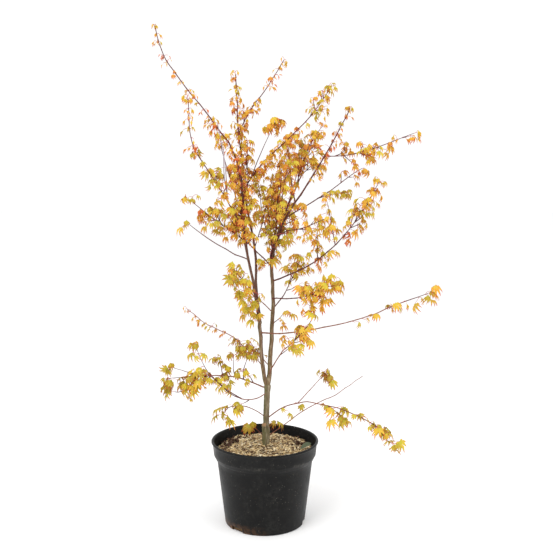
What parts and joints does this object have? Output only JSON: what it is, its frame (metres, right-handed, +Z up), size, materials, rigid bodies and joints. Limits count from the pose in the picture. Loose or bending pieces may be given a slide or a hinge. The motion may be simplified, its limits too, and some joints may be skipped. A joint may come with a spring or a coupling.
{
  "type": "potted japanese maple",
  "caption": "Young upright Japanese maple in fresh amber and gold leaf, on one short trunk with two stems, growing in a round black nursery pot topped with bark mulch.",
  "frame": {"origin": "centre of the pot's flat underside, on the surface it stands on", "axes": "+Z up the tree, +X towards the long low bough, +Y towards the back of the crown"},
  "size_m": [0.8916, 0.6267, 1.5251],
  "materials": {
    "pot_plastic": "black moulded nursery-pot plastic, slight sheen",
    "bark_mulch": "dry tan bark and wood chips",
    "trunk_bark": "smooth grey-brown bark, mossy on the stock",
    "stem_bark": "smooth brown bark",
    "bough_bark": "smooth dark maroon-brown young bark",
    "spring_leaf": "thin gold and amber spring leaves with coral tips"
  },
  "bodies": {
    "root": {"bough_east": "bough_bark", "bough_east_high": "bough_bark", "bough_east_low": "bough_bark", "bough_east_mid": "bough_bark", "bough_east_rear": "bough_bark", "bough_front_east": "bough_bark", "bough_front_west": "bough_bark", "bough_long_east": "bough_bark", "bough_low_front": "bough_bark", "bough_low_west": "bough_bark", "bough_northeast": "bough_bark", "bough_northwest": "bough_bark", "bough_rear_low": "bough_bark", "bough_rear_west": "bough_bark", "bough_thin_west": "bough_bark", "bough_west": "bough_bark", "bough_west_high": "bough_bark", "foliage_back": "spring_leaf", "foliage_core": "spring_leaf", "foliage_crown_west": "spring_leaf", "foliage_east": "spring_leaf", "foliage_east_high": "spring_leaf", "foliage_east_low": "spring_leaf", "foliage_east_mid": "spring_leaf", "foliage_east_rear": "spring_leaf", "foliage_far_east": "spring_leaf", "foliage_foot_mid": "spring_leaf", "foliage_foot_tip": "spring_leaf", "foliage_foot_west": "spring_leaf", "foliage_front_east": "spring_leaf", "foliage_front_west": "spring_leaf", "foliage_inner_low": "spring_leaf", "foliage_long_east": "spring_leaf", "foliage_low_front": "spring_leaf", "foliage_low_west": "spring_leaf", "foliage_northeast": "spring_leaf", "foliage_northwest": "spring_leaf", "foliage_rear": "spring_leaf", "foliage_rear_west": "spring_leaf", "foliage_spire": "spring_leaf", "foliage_west": "spring_leaf", "foliage_west_high": "spring_leaf", "foot_bare": "bough_bark", "foot_east": "bough_bark", "foot_twig": "bough_bark", "foot_west": "bough_bark", "lead_back": "bough_bark", "lead_east": "bough_bark", "lead_inner": "bough_bark", "lead_rear": "bough_bark", "lead_west": "bough_bark", "mulch": "bark_mulch", "pot": "pot_plastic", "spire_east": "bough_bark", "spire_northwest": "bough_bark", "stem_east": "stem_bark", "stem_west": "stem_bark", "trunk": "trunk_bark", "whip_far_east": "bough_bark", "whip_west": "bough_bark"}
  },
  "joints": []
}
